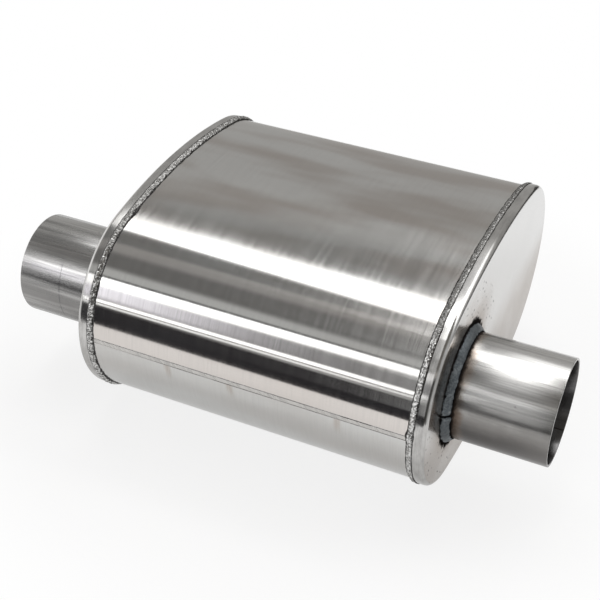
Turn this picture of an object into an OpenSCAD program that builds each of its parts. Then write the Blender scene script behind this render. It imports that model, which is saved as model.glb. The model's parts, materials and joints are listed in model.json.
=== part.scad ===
// Oval exhaust muffler with a straight-through perforated core, in millimetres.
// The pipes run along X, from the inlet at -X to the outlet at +X. The case stands on
// the lower edges of its end caps, at Z = 0, and lies centred on Y = 0.

/* [Case] */
// Length of the case, over the outer faces of its end caps
case_l = 219; // [150:1:450]
// Width of the rolled shell, outside
case_w = 234.5; // [200:0.5:280]
// Height of the rolled shell, outside
case_h = 131.5; // [112:0.5:170]
// Radius of the shell's two flatter faces, outside. The round sides follow from it.
crown_r = 348; // [240:1:600]
// Sheet thickness of the shell
shell_t = 1.2; // [0.8:0.1:2.5]

/* [End caps] */
// Sheet thickness of the end caps
cap_t = 1.5; // [1:0.1:2.5]
// Depth of a cap's skirt, from its outer face to its edge
skirt_l = 7.4; // [6.8:0.1:20]
// Outer radius of the drawn edge between face and skirt
cap_edge_r = 3; // [2:0.25:4.5]
// Gap between the shell and the skirt that fits over it
cap_gap = 0.15; // [0.05:0.05:0.4]

/* [Pipes] */
// Outside diameter of the inlet and outlet pipes
pipe_d = 63.5; // [50.8:0.1:76.2]
// Wall thickness of the pipes
pipe_t = 1.5; // [1:0.1:2.5]
// Distance of the pipe axis from the front edge of the shell
pipe_inset = 60.75; // [51:0.25:118]
// How far the inlet pipe stands out of its cap
inlet_out = 62; // [30:1:150]
// How far the outlet pipe stands out of its cap
outlet_out = 60; // [30:1:150]
// How far each pipe reaches into the case, from the cap's outer face
pipe_in = 16; // [14:0.5:24]
// Gap between a pipe and the hole in its cap
pipe_gap = 0.2; // [0.1:0.05:0.5]

/* [Perforated core] */
// Sheet thickness of the core tube
core_t = 1.2; // [0.8:0.1:2]
// Gap between the core and the pipe ends that it slides over
core_gap = 0.1; // [0.05:0.05:0.3]
// Length of each pipe that the core covers
core_lap = 9; // [5:0.5:9.5]
// Plain length of core left before the first row of holes, beyond a pipe's end
core_plain = 6; // [4:0.5:20]
// Diameter of the core's holes
hole_d = 5.5; // [3:0.25:7]
// Distance between neighbouring holes
hole_pitch = 11; // [9:0.5:16]

/* [Packing] */
// Thickness of the steel wool wound on the core
wool_t = 5; // [3:0.5:10]
// Gap left round the packing
pack_gap = 0.3; // [0.1:0.1:1]

/* [Welds] */
// Width of the bead between a skirt's edge and the shell
cap_bead_w = 4.2; // [3:0.1:6]
// Leg of the bead round each pipe, measured along the pipe
pipe_bead_l = 4.8; // [3:0.1:7]
// Leg of the bead round each pipe, measured on the cap
pipe_bead_h = 4; // [2.5:0.1:5.5]
// Leg of the bead between the core's end and the pipe, measured along the pipe
core_bead_l = 2.5; // [1.5:0.25:3]
// Width of the seam weld along the shell
seam_w = 3.3; // [1.5:0.1:5]
// How far the seam weld stands proud of the sheet, inside and out
seam_proud = 0.15; // [0.05:0.05:0.4]
// Height of the seam above the front edge of the case, as an angle at its side's centre
seam_angle = 2.6; // [-30:0.1:30]

/* [Hidden] */
$fn = 128;

// Overlap that lets one solid cut cleanly through another
cut = 1;

// The case's section is four arcs that meet tangentially: two sides and two crowns.
// The side radius is rounded, and the crowns' centres then placed so that the arcs still meet.
side_r = round(1000 * (crown_r * case_h - pow(case_w / 2, 2) - pow(case_h / 2, 2))
  / (2 * crown_r - case_w)) / 1000;
side_y = case_w / 2 - side_r;
crown_drop = sqrt(pow(crown_r - side_r, 2) - pow(side_y, 2));
meet_angle = atan2(crown_drop, side_y);
// Reach of the wedges that part the sides from the crowns, past the widest outline
wedge_reach = 4;
// In a flat section the sides and crowns only touch at those wedges. Discs that are this much
// smaller than the sides overlap both and make them one.
join_step = 0.3;

// Sharpest bend inside a cap's edge, and the gap between that bend and the shell's end
least_edge_r = 0.3;
shell_end_gap = 0.5;

// Offsets of the sheet surfaces from the shell's outside
skirt_in = cap_gap;
skirt_out = cap_gap + cap_t;
step_h = skirt_out;
cap_inner_edge_r = max(cap_edge_r - cap_t, least_edge_r);

// Places along the pipe axis, from the outer face of a cap
shell_end = cap_t + cap_inner_edge_r + shell_end_gap;
core_end = pipe_in - core_lap;
wool_end = core_end + pack_gap;
pack_end = cap_t + pack_gap;

// Radii about the pipe axis
pipe_r = pipe_d / 2;
pipe_bore_r = pipe_r - pipe_t;
core_bore_r = pipe_r + core_gap;
core_r = core_bore_r + core_t;
wool_bore_r = core_r + pack_gap;
wool_r = wool_bore_r + wool_t;
pack_bore_r = wool_r + pack_gap;

// The overall length is centred on X = 0, which puts the case slightly off centre
case_x = (inlet_out - outlet_out) / 2;
pipe_offset = case_w / 2 - pipe_inset;
case_z = case_h / 2 + skirt_out;

// Clearance under every bead, and rise of a pipe weld's face
bead_clear = 0.03;
pipe_bead_crown = 0.3;

// Rings of points round a cap weld, the waves (count, share, phase) that make it uneven, and
// the share by which they vary its width
bead_rings = 240;
bead_waves = [[53, 0.5, 0], [79, 0.3, 40], [31, 0.35, 110]];
bead_vary = 0.07;
// Phase in degrees between the waves of the two cap welds
bead_phase = 47;

// Points of its section: share of its width, share of the step's height, the share by which
// the waves vary that height, and their phase there
bead_profile = [[0, 0.86, 0.08, 75], [0.3, 0.84, 0.14, 150], [0.62, 0.69, 0.064, 75],
  [0.88, 0.36, 0.034, 75]];

// Shares of a fillet's legs that give its rounded toes: across a toe, and along the leg
toe_ratio = 0.12;
leg_ratio = 0.97;

// Facets of a punched hole in the core, and angle between its rows of neighbouring holes
hole_facets = 24;
stagger = 60;

// Maps a section drawn in X and Y to the Y and Z of the case, and its height to X
module along_x() rotate([90, 0, 90]) children();

// Places a child that is drawn about the pipe axis, at the given X
module on_pipe_axis(x = 0) translate([x, -pipe_offset, case_z]) children();

// Places a child built on the inlet cap's outer face, with the case on its +X side
module at_inlet() translate([case_x - case_l / 2, 0, case_z]) children();

// The same for the outlet cap, with the case on its -X side
module at_outlet() translate([case_x + case_l / 2, 0, case_z]) mirror([1, 0, 0]) children();

// Wedge of the section between the two lines from the crowns' centres through a side's
module side_wedge() polygon([[side_y, 0],
  [side_y * wedge_reach, crown_drop * (wedge_reach - 1)],
  [side_y * wedge_reach, -crown_drop * (wedge_reach - 1)]]);

// What is left of the section between the two side wedges
module crown_wedge() polygon([[side_y, 0],
  [side_y * wedge_reach, crown_drop * (wedge_reach - 1)],
  [-side_y * wedge_reach, crown_drop * (wedge_reach - 1)],
  [-side_y, 0],
  [-side_y * wedge_reach, -crown_drop * (wedge_reach - 1)],
  [side_y * wedge_reach, -crown_drop * (wedge_reach - 1)]]);

// Moves a child to the upper crown's centre, in two steps that keep it exact
module crown_centre() translate([0, -round(crown_drop)])
  translate([0, round(crown_drop) - crown_drop]) children();

// The case's outline, offset outwards by d
module oval(d) {
  for (side = [0, 1]) mirror([side, 0]) {
    intersection() {
      translate([side_y, 0]) circle(r = side_r + d);
      side_wedge();
    }
    translate([side_y, 0]) circle(r = side_r + d - join_step);
  }
  intersection() {
    crown_centre() circle(r = crown_r + d);
    mirror([0, 1]) crown_centre() circle(r = crown_r + d);
    crown_wedge();
  }
}

// Disc from Z = 0 to h whose lower edge is rounded to radius e
module round_disc(r, h, e) rotate_extrude() {
  square([r - e, h]);
  translate([0, e]) square([r, h - e]);
  translate([r - e, e]) intersection() {
    circle(r = e);
    translate([0, -e]) square(e);
  }
}

// Oval block from Z = 0 to h, offset by d, whose lower edge is rounded to radius e
module round_oval(d, h, e) {
  for (side = [0, 1]) mirror([side, 0, 0]) translate([side_y, 0, 0])
    round_disc(side_r + d, h, e);
  intersection() {
    crown_centre() round_disc(crown_r + d, h, e);
    mirror([0, 1, 0]) crown_centre() round_disc(crown_r + d, h, e);
    linear_extrude(h) crown_wedge();
  }
}

// Point of the outline whose outward normal stands at angle a, offset by d
function oval_point(a, d) =
  abs(sin(a)) < sin(meet_angle)
    ? [sign(cos(a)) * side_y, 0] + (side_r + d) * [cos(a), sin(a)]
    : [0, -sign(sin(a)) * crown_drop] + (crown_r + d) * [cos(a), sin(a)];

// Lengths of one side and one crown, and the normal's angle at length s round them
side_len = meet_angle * PI / 90 * side_r;
crown_len = (90 - meet_angle) * PI / 90 * crown_r;
oval_len = 2 * (side_len + crown_len);
function half_normal(s) = s < side_len
  ? s / side_r * 180 / PI - meet_angle
  : (s - side_len) / crown_r * 180 / PI + meet_angle;
function oval_normal(s) = s < oval_len / 2
  ? half_normal(s)
  : half_normal(s - oval_len / 2) + 180;

// Uneven swell of a bead at fraction u of its way round, between about -1 and 1
function swell(u, shift) = [for (w = bead_waves) w[1] * sin(360 * w[0] * u + w[2] + shift)]
  * [for (w = bead_waves) 1];

// Section of a cap weld: distance from the skirt's edge, height over the shell
function bead_section(u, shift) =
  let (w = cap_bead_w * (1 + bead_vary * (swell(u, shift) - 1)))
  [[0, bead_clear],
   for (p = bead_profile) [p[0] * w, step_h * (p[1] + p[2] * swell(u, shift + p[3]))],
   [w, bead_clear]];

// Bead that fills the step between a cap's skirt and the shell, all the way round
module cap_weld(shift) {
  sections = [for (i = [0 : bead_rings - 1]) bead_section(i / bead_rings, shift)];
  n = len(sections[0]);
  points = [for (i = [0 : bead_rings - 1], p = sections[i])
    let (q = oval_point(oval_normal(oval_len * i / bead_rings), p[1]))
    [skirt_l + p[0], q[0], q[1]]];
  faces = [for (i = [0 : bead_rings - 1], j = [0 : n - 1])
    let (a = i * n, b = ((i + 1) % bead_rings) * n, k = (j + 1) % n)
    each [[a + j, b + j, b + k], [a + j, b + k, a + k]]];
  polyhedron(points = points, faces = faces);
}

// Drawn cap: flat face, rounded edge and a skirt that fits over the shell
module end_cap() difference() {
  along_x() difference() {
    round_oval(skirt_out, skirt_l, cap_edge_r);
    translate([0, 0, cap_t]) round_oval(skirt_in, skirt_l, cap_inner_edge_r);
  }
  translate([-cut, -pipe_offset, 0]) rotate([0, 90, 0])
    cylinder(r = pipe_r + pipe_gap, h = cap_t + 2 * cut);
}

// Plain tube about the pipe axis, from x0 to x1
module tube(r_out, r_in, x0, x1) translate([x0, -pipe_offset, 0]) rotate([0, 90, 0])
  difference() {
    cylinder(r = r_out, h = x1 - x0);
    translate([0, 0, -cut]) cylinder(r = r_in, h = x1 - x0 + 2 * cut);
  }

// Fillet ring round a pipe, against a wall at X = x, that falls to the pipe on its -X side
module fillet_ring(x, l, h, crown) translate([x, -pipe_offset, 0]) rotate([0, -90, 0])
  rotate_extrude() translate([pipe_r + bead_clear, 0])
    polygon([[0, 0], [h, 0], [h * leg_ratio, l * toe_ratio], [h / 2 + crown, l / 2 + crown],
      [h * toe_ratio, l * leg_ratio], [0, l]]);

module outer_shell() color("silver") difference() {
  translate([case_x - case_l / 2 + shell_end, 0, case_z]) along_x()
    linear_extrude(case_l - 2 * shell_end) difference() {
      oval(0);
      oval(-shell_t);
    }
  seam_bar(seam_w, cut, case_l);
}

// Bar along the seam, straight through the sheet and proud of both its faces
module seam_bar(w, proud, l) translate([case_x, -side_y, case_z])
  rotate([-seam_angle, 0, 0])
  translate([-l / 2, -side_r - proud, -w / 2]) cube([l, shell_t + 2 * proud, w]);

module shell_seam_weld() color("darkgray")
  seam_bar(seam_w - 2 * bead_clear, seam_proud, case_l - 2 * shell_end);

module inlet_end_cap() color("gainsboro") at_inlet() end_cap();

module outlet_end_cap() color("gainsboro") at_outlet() end_cap();

module inlet_pipe() color("silver") at_inlet() tube(pipe_r, pipe_bore_r, -inlet_out, pipe_in);

module outlet_pipe() color("silver") at_outlet()
  tube(pipe_r, pipe_bore_r, -outlet_out, pipe_in);

// Core tube with staggered rows of round holes between its plain ends
module perforated_core() color("lightgray") on_pipe_axis(case_x) rotate([0, 90, 0]) {
  core_l = case_l - 2 * core_end;
  holed_l = case_l - 2 * (pipe_in + core_plain);
  rows = floor((holed_l - hole_d) / (hole_pitch * sin(stagger))) + 1;
  row_step = (holed_l - hole_d) / max(rows - 1, 1);
  around = floor(2 * PI * core_bore_r / hole_pitch);
  difference() {
    cylinder(r = core_r, h = core_l, center = true);
    cylinder(r = core_bore_r, h = core_l + 2 * cut, center = true);
    for (row = [0 : rows - 1], i = [0 : around - 1])
      rotate([0, 0, 360 * (i + (row % 2) / 2) / around])
        translate([core_bore_r - cut, 0, (row - (rows - 1) / 2) * row_step])
          rotate([0, 90, 0]) cylinder(d = hole_d, h = core_t + 2 * cut, $fn = hole_facets);
  }
}

module steel_wool_sleeve() color("dimgray") at_inlet()
  tube(wool_r, wool_bore_r, wool_end, case_l - wool_end);

// Glass fibre that fills the case round the wool
module glass_packing() color("khaki") at_inlet() difference() {
  translate([pack_end, 0, 0]) along_x()
    linear_extrude(case_l - 2 * pack_end) oval(-shell_t - pack_gap);
  translate([-cut, -pipe_offset, 0]) rotate([0, 90, 0])
    cylinder(r = pack_bore_r, h = case_l + 2 * cut);
}

module inlet_cap_weld() color("gray") at_inlet() cap_weld(0);

module outlet_cap_weld() color("gray") at_outlet() cap_weld(bead_phase);

// Bead round a pipe on the cap's outer face
module pipe_weld() fillet_ring(0, pipe_bead_l, pipe_bead_h, pipe_bead_crown);

// Bead round a pipe against the core's end, as high as the core is thick
module core_weld() fillet_ring(core_end, core_bead_l, core_r - pipe_r - bead_clear, 0);

module inlet_pipe_weld() color("slategray") at_inlet() pipe_weld();

module outlet_pipe_weld() color("slategray") at_outlet() pipe_weld();

module inlet_core_weld() color("slategray") at_inlet() core_weld();

module outlet_core_weld() color("slategray") at_outlet() core_weld();

outer_shell();
shell_seam_weld();
inlet_end_cap();
outlet_end_cap();
inlet_pipe();
outlet_pipe();
perforated_core();
steel_wool_sleeve();
glass_packing();
inlet_cap_weld();
outlet_cap_weld();
inlet_pipe_weld();
outlet_pipe_weld();
inlet_core_weld();
outlet_core_weld();
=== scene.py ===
"""Oval stainless steel exhaust muffler: its finishes, weld beads, studio and camera.

Every piece of the muffler lies along the pipe axis. The pieces that are made here are drawn in an
axial frame of their own: local Z runs along the pipes, local X across the case towards the back
and local Y up. The brushed finishes use that frame, since their grain turns about local Z.
"""

import json
import logging
import math
from collections.abc import Sequence
from dataclasses import dataclass
from enum import Enum

import bpy
from mathutils import Matrix, Vector, noise


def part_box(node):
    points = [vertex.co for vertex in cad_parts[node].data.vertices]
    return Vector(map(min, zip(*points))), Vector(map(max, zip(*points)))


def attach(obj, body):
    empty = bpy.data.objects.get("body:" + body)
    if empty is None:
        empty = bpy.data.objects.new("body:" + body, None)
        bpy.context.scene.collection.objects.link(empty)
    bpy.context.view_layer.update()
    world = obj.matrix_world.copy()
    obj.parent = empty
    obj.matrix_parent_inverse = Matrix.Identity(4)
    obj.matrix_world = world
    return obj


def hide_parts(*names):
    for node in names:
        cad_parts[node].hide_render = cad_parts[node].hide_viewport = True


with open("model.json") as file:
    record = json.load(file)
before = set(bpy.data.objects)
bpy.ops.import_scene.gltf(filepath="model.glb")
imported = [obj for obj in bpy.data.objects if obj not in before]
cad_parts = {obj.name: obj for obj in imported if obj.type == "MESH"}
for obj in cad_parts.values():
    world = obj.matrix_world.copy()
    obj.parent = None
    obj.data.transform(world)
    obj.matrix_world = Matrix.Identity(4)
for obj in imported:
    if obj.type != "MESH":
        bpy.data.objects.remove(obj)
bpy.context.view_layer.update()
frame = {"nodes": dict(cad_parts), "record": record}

log = logging.getLogger("muffler")

MM = 0.001
BODY = "root"
Colour = tuple[float, float, float]
Point = tuple[float, float, float]
Span = tuple[float, float]
Socket = bpy.types.NodeSocket

WHITE: Colour = (1.0, 1.0, 1.0)
QUARTER = math.pi / 2

# Local Z of the axial frame runs along the row's X, local X along its Y and local Y along its Z
AXIAL = Matrix(((0, 0, 1, 0), (1, 0, 0, 0), (0, 1, 0, 0), (0, 0, 0, 1)))


class Wire:
    """A number that varies over a surface, as the output socket of a node."""

    def __init__(self, graph: "Graph", socket: Socket) -> None:
        """Holds the socket and the graph that it belongs to."""
        self.graph = graph
        self.socket = socket

    def _math(self, operation: str, first: "Wire | float", second: "Wire | float") -> "Wire":
        """Adds a Math node.

        Args:
            operation: the node's operation.
            first: its first value.
            second: its second value.

        Returns:
            The node's result.
        """
        return self.graph.value("ShaderNodeMath", {"operation": operation}, {0: first, 1: second})

    def __add__(self, other: "Wire | float") -> "Wire":
        """Sum."""
        return self._math("ADD", self, other)

    __radd__ = __add__

    def __sub__(self, other: "Wire | float") -> "Wire":
        """Difference."""
        return self._math("SUBTRACT", self, other)

    def __rsub__(self, other: float) -> "Wire":
        """Difference from a plain number."""
        return self._math("SUBTRACT", other, self)

    def __mul__(self, other: "Wire | float") -> "Wire":
        """Product."""
        return self._math("MULTIPLY", self, other)

    __rmul__ = __mul__

    def __truediv__(self, other: "Wire | float") -> "Wire":
        """Quotient."""
        return self._math("DIVIDE", self, other)

    def __pow__(self, other: float) -> "Wire":
        """Power."""
        return self._math("POWER", self, other)

    def __abs__(self) -> "Wire":
        """Absolute value."""
        return self._math("ABSOLUTE", self, 0.0)

    def angle_to(self, other: "Wire") -> "Wire":
        """Angle whose tangent is this number over the other."""
        return self._math("ARCTAN2", self, other)

    def highest(self, other: "Wire | float") -> "Wire":
        """The larger of two numbers."""
        return self._math("MAXIMUM", self, other)

    def lowest(self, other: "Wire | float") -> "Wire":
        """The smaller of two numbers."""
        return self._math("MINIMUM", self, other)

    def ease(self, start: float, end: float, low: float = 0.0, high: float = 1.0) -> "Wire":
        """Rises smoothly from one value to another.

        Args:
            start: the number at which the result leaves low.
            end: the number at which the result reaches high.
            low: the result before start.
            high: the result past end.

        Returns:
            The eased number.
        """
        if start > end:
            start, end, low, high = end, start, high, low
        settings = {"interpolation_type": "SMOOTHSTEP"}
        values = {"Value": self, "From Min": start, "From Max": end, "To Min": low, "To Max": high}
        return self.graph.value("ShaderNodeMapRange", settings, values)


@dataclass
class Place:
    """Where a shaded point lies: along the pipes, across the case and up, in metres."""

    along: Wire
    across: Wire
    up: Wire

    def scaled(self, section: float, along: float) -> Socket:
        """Vector of the place, for a texture.

        Args:
            section: features to a metre across the case and up.
            along: features to a metre along the pipes.

        Returns:
            The vector's socket.
        """
        graph = self.along.graph
        return graph.vector(self.across * section, self.up * section, self.along * along)

    def noise(self, section: float, along: float, detail: float = 2.0, rough: float = 0.5) -> Wire:
        """Cloudy noise.

        Args:
            section: features to a metre across the case and up.
            along: features to a metre along the pipes.
            detail: number of finer layers.
            rough: strength of the finer layers.

        Returns:
            The noise, from 0 to 1 and mostly near the middle.
        """
        values = {"Vector": self.scaled(section, along), "Scale": 1.0, "Detail": detail, "Roughness": rough}
        return self.along.graph.value("ShaderNodeTexNoise", None, values)

    def cells(self, count: float) -> Wire:
        """Distance to the nearest of a scatter of points, with a count of them to a metre."""
        values = {"Vector": self.scaled(count, count), "Scale": 1.0, "Randomness": 1.0}
        return self.along.graph.value("ShaderNodeTexVoronoi", None, values)

    def from_pipes(self) -> tuple[Wire, Wire, Wire]:
        """Place across and up from the pipes' axis, and the distance from it."""
        across, up = self.across - AXIS.across, self.up - AXIS.up
        return across, up, (across * across + up * up) ** 0.5


class Graph:
    """The nodes of one material or of the world."""

    def __init__(self, tree: bpy.types.NodeTree) -> None:
        """Empties the node tree that it fills."""
        self.tree = tree
        tree.nodes.clear()

    def node(self, kind: str, settings: dict | None = None, values: dict | None = None) -> bpy.types.Node:
        """Adds any node.

        Args:
            kind: the node's type.
            settings: its properties, set first.
            values: constants or links of its inputs, by name or number.

        Returns:
            The node.
        """
        made = self.tree.nodes.new(kind)
        for name, setting in (settings or {}).items():
            setattr(made, name, setting)
        for name, value in (values or {}).items():
            self.feed(made.inputs[name], value)
        return made

    def feed(self, socket: Socket, value: object) -> None:
        """Links or sets an input.

        Args:
            socket: the input.
            value: a wire, a socket, a number or a colour of three numbers.
        """
        if isinstance(value, Wire):
            self.tree.links.new(value.socket, socket)
        elif isinstance(value, Socket):
            self.tree.links.new(value, socket)
        elif isinstance(value, tuple) and socket.type == "RGBA":
            socket.default_value = (*value, 1.0)
        else:
            socket.default_value = value

    def value(self, kind: str, settings: dict | None = None, values: dict | None = None) -> Wire:
        """Adds a node and returns its first output as a number."""
        return Wire(self, self.node(kind, settings, values).outputs[0])

    def vector(self, x: Wire | float, y: Wire | float, z: Wire | float) -> Socket:
        """Joins three numbers into a vector."""
        return self.node("ShaderNodeCombineXYZ", None, {0: x, 1: y, 2: z}).outputs[0]

    def split(self, vector: Socket) -> tuple[Wire, Wire, Wire]:
        """Splits a vector into its three numbers."""
        outputs = self.node("ShaderNodeSeparateXYZ", None, {0: vector}).outputs
        return Wire(self, outputs[0]), Wire(self, outputs[1]), Wire(self, outputs[2])

    def mix(self, factor: Wire, first: object, second: object) -> Socket:
        """Mixes two colours.

        Args:
            factor: the share of the second colour.
            first: a colour or the socket of one.
            second: a colour or the socket of one.

        Returns:
            The mixed colour's socket.
        """
        settings = {"data_type": "RGBA"}
        return self.node("ShaderNodeMix", settings, {0: factor, 6: first, 7: second}).outputs[2]

    def layers(self, base: object, *coats: tuple[Wire, Colour]) -> Socket:
        """Lays colours over each other.

        Args:
            base: the colour underneath, or its socket.
            coats: share and colour of each coat, from the lowest up.

        Returns:
            The socket of the colour that shows.
        """
        for share, colour in coats:
            base = self.mix(share, base, colour)
        return base

    def blend(self, share: Wire, first: Socket, second: Socket) -> Socket:
        """Mixes two shaders, with a share of the second."""
        return self.node("ShaderNodeMixShader", None, {0: share, 1: first, 2: second}).outputs[0]

    def bump(self, height: Wire, depth: float, normal: Socket | None = None) -> Socket:
        """Turns a height into a normal.

        Args:
            height: the height, as a share of depth.
            depth: the height of 1, in metres.
            normal: a normal from another bump that this one is added to.

        Returns:
            The normal's socket.
        """
        values = {"Strength": 1.0, "Distance": depth, "Height": height}
        if normal is not None:
            values["Normal"] = normal
        return self.node("ShaderNodeBump", None, values).outputs[0]

    def place(self, axial: bool = True) -> Place:
        """Where the shaded point lies.

        Args:
            axial: whether the piece is drawn in the axial frame, and not in the row's.

        Returns:
            Its place.
        """
        x, y, z = self.split(self.node("ShaderNodeTexCoord").outputs["Object"])
        if axial:
            return Place(along=z, across=x, up=y)
        return Place(along=x, across=y, up=z)


@dataclass(frozen=True)
class Oval:
    """The case's outline: two round sides and two crowns that meet them tangentially.

    Angles turn from the back of the case, through its top, to its front.
    """

    half_width: float
    half_height: float
    side_radius: float

    @property
    def side_centre(self) -> float:
        """Distance of a side's centre from the middle of the case."""
        return self.half_width - self.side_radius

    @property
    def crown_radius(self) -> float:
        """Radius of the crowns, from the height and the sides."""
        rise = self.half_height - self.side_radius
        return (self.side_centre**2 + self.half_height**2 - self.side_radius**2) / (2 * rise)

    @property
    def crown_drop(self) -> float:
        """Distance of a crown's centre from the middle of the case."""
        return self.crown_radius - self.half_height

    @property
    def meeting(self) -> float:
        """Angle of the normal where a side meets a crown."""
        return math.atan2(self.crown_drop, self.side_centre)

    @property
    def quarter(self) -> float:
        """Length of a quarter of the outline."""
        crown = self.crown_radius * (math.pi / 2 - self.meeting)
        return self.side_radius * self.meeting + crown

    def angle(self, share: float) -> float:
        """Angle of the normal at a place on the outline.

        Args:
            share: share of the way round, from 0 to 1.

        Returns:
            The angle.
        """
        quarters = (share % 1.0) * 4
        index = int(quarters)
        length = (quarters - index) * self.quarter
        if index % 2:
            length = self.quarter - length
        side = self.side_radius * self.meeting
        if length <= side:
            turn = length / self.side_radius
        else:
            turn = self.meeting + (length - side) / self.crown_radius
        return {0: turn, 1: math.pi - turn, 2: math.pi + turn, 3: 2 * math.pi - turn}[index]

    def at(self, angle: float, offset: float = 0.0) -> tuple[float, float]:
        """Point of the outline.

        Args:
            angle: angle of its normal.
            offset: distance outwards from the outline.

        Returns:
            Its place across and up, from the middle of the case.
        """
        across, up = math.cos(angle), math.sin(angle)
        if abs(up) > math.sin(self.meeting):
            reach = self.crown_radius + offset
            return reach * across, reach * up - math.copysign(self.crown_drop, up)
        reach = self.side_radius + offset
        return reach * across + math.copysign(self.side_centre, across), reach * up


@dataclass(frozen=True)
class Case:
    """Sizes that the pieces share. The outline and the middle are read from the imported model."""

    oval: Oval
    middle: float
    side_radius: float = 60 * MM
    skirt_depth: float = 7.4 * MM
    edge_radius: float = 3 * MM
    cap_sheet: float = 1.5 * MM
    cap_gap: float = 0.15 * MM
    shell_sheet: float = 1.2 * MM
    seam_angle: float = math.radians(177.4)
    seam_width: float = 3.3 * MM

    @classmethod
    def read(cls) -> "Case":
        """Reads the shell's outline and the height of its middle.

        Returns:
            The sizes.
        """
        low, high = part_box("outer_shell")
        oval = Oval((high[1] - low[1]) / 2, (high[2] - low[2]) / 2, cls.side_radius)
        return cls(oval, (high[2] + low[2]) / 2)

    @property
    def skirt_out(self) -> float:
        """Distance of a skirt's outside from the shell's."""
        return self.cap_gap + self.cap_sheet

    @property
    def seam_up(self) -> float:
        """Height of the seam's middle line."""
        return self.middle + self.side_radius * math.sin(self.seam_angle)

    def point(self, along: float, angle: float, offset: float) -> Point:
        """Point at an offset from the shell.

        Args:
            along: its place along the pipes.
            angle: angle of the outline's normal.
            offset: distance outwards from the shell.

        Returns:
            The point, in the row's frame.
        """
        across, up = self.oval.at(angle, offset)
        return along, across, self.middle + up


CASE = Case.read()


class End(Enum):
    """The two ends of the muffler: name, and the way out along the row's X."""

    INLET = ("inlet", -1)
    OUTLET = ("outlet", 1)

    @property
    def label(self) -> str:
        """Name of the end."""
        return self.value[0]

    @property
    def way(self) -> int:
        """-1 or 1, the way out of the case."""
        return self.value[1]

    @property
    def face(self) -> float:
        """Place of the cap's outer face along the pipes."""
        return FACES[self.label]

    def along(self, depth: float) -> float:
        """Place along the pipes, a depth inside the cap's outer face."""
        return self.face - self.way * depth


FACES = {"inlet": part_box("inlet_end_cap")[0][0], "outlet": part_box("outlet_end_cap")[1][0]}


@dataclass(frozen=True)
class Axis:
    """The pipes' common axis and radii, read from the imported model."""

    across: float
    up: float
    outside: float
    bore: float

    @classmethod
    def read(cls) -> "Axis":
        """Reads the axis from the outlet pipe and its bore mount.

        Returns:
            The axis.
        """
        low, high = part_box("outlet_pipe")
        mounts = {mount["name"]: mount for mount in frame["record"]["mounts"]}
        bore = mounts["outlet_bore"]["dims"]["r_mm"] * MM
        return cls((low[1] + high[1]) / 2, (low[2] + high[2]) / 2, (high[2] - low[2]) / 2, bore)

    def at(self, angle: float, radius: float, along: float) -> Point:
        """Point at an angle round the axis, at a radius from it."""
        return along, self.across + radius * math.cos(angle), self.up + radius * math.sin(angle)


AXIS = Axis.read()


def from_face(along: Wire) -> Wire:
    """Distance along the pipes beyond the nearer cap's face."""
    middle = (End.INLET.face + End.OUTLET.face) / 2
    return abs(along - middle) - (End.OUTLET.face - middle)


def closed_noise(ring: Vector, channel: float, size: float) -> float:
    """Smooth noise that closes up round a ring.

    Args:
        ring: place on the ring, in its own plane.
        channel: number that tells one use of the noise from another.
        size: length of a feature.

    Returns:
        The noise, from -1 to 1.
    """
    return noise.noise(Vector((ring.x / size, ring.y / size, channel)))


def split_at(across: Wire, up: Wire, angle: float) -> tuple[Wire, Wire]:
    """Splits what lies round the pipes by a line from their axis.

    Args:
        across: place across, from the axis.
        up: place up, from the axis.
        angle: angle of the line.

    Returns:
        The distance past the line, and 1 on the line's own side of the axis.
    """
    past = up * math.cos(angle) - across * math.sin(angle)
    side = (across * math.cos(angle) + up * math.sin(angle)).ease(0.0, 1 * MM)
    return past, side


def loft(name: str, rings: Sequence[Sequence[Point]], sharp: float, loop: bool = True) -> bpy.types.Object:
    """Joins rings of points into a closed solid.

    Args:
        name: the piece's name.
        rings: rings with the same number of points, in the row's frame. The last joins the first.
        sharp: angle in degrees above which an edge between faces is sharp.
        loop: whether each ring closes on itself. If not, both of its ends are capped.

    Returns:
        The new object, drawn in the axial frame.
    """
    count, size = len(rings), len(rings[0])
    points = [(p[1], p[2], p[0]) for ring in rings for p in ring]
    faces = []
    for i in range(count):
        j = (i + 1) % count
        for k in range(size if loop else size - 1):
            m = (k + 1) % size
            faces.append((i * size + k, i * size + m, j * size + m, j * size + k))
    if not loop:
        faces.append(tuple(i * size for i in range(count)))
        faces.append(tuple(i * size + size - 1 for i in reversed(range(count))))
    mesh = bpy.data.meshes.new(name)
    mesh.from_pydata(points, [], faces)
    mesh.validate()
    mesh.polygons.foreach_set("use_smooth", [True] * len(mesh.polygons))
    mesh.set_sharp_from_angle(angle=math.radians(sharp))
    turn_out(mesh)
    made = bpy.data.objects.new(name, mesh)
    made.matrix_world = AXIAL
    bpy.context.scene.collection.objects.link(made)
    return made


def turn_out(mesh: bpy.types.Mesh) -> None:
    """Turns the faces of a closed mesh outwards, by the sign of its volume.

    Args:
        mesh: the mesh.
    """
    volume = 0.0
    for polygon in mesh.polygons:
        corners = [mesh.vertices[i].co for i in polygon.vertices]
        for k in range(1, len(corners) - 1):
            volume += corners[0].dot(corners[k].cross(corners[k + 1]))
    if volume < 0:
        mesh.flip_normals()


def dress(piece: bpy.types.Object, node: str, material: bpy.types.Material) -> None:
    """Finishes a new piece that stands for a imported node.

    Args:
        piece: the new piece.
        node: the node that it stands for.
        material: its finish.
    """
    piece.data.materials.append(material)
    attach(piece, BODY)
    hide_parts(node)
    log.info("%s: %d faces", piece.name, len(piece.data.polygons))


def paint(node: str, material: bpy.types.Material) -> None:
    """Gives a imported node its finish.

    Args:
        node: the node.
        material: its finish.
    """
    for slot in frame["nodes"][node].material_slots:
        slot.link = "OBJECT"
        slot.material = material
    log.info("%s: painted", node)


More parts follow.
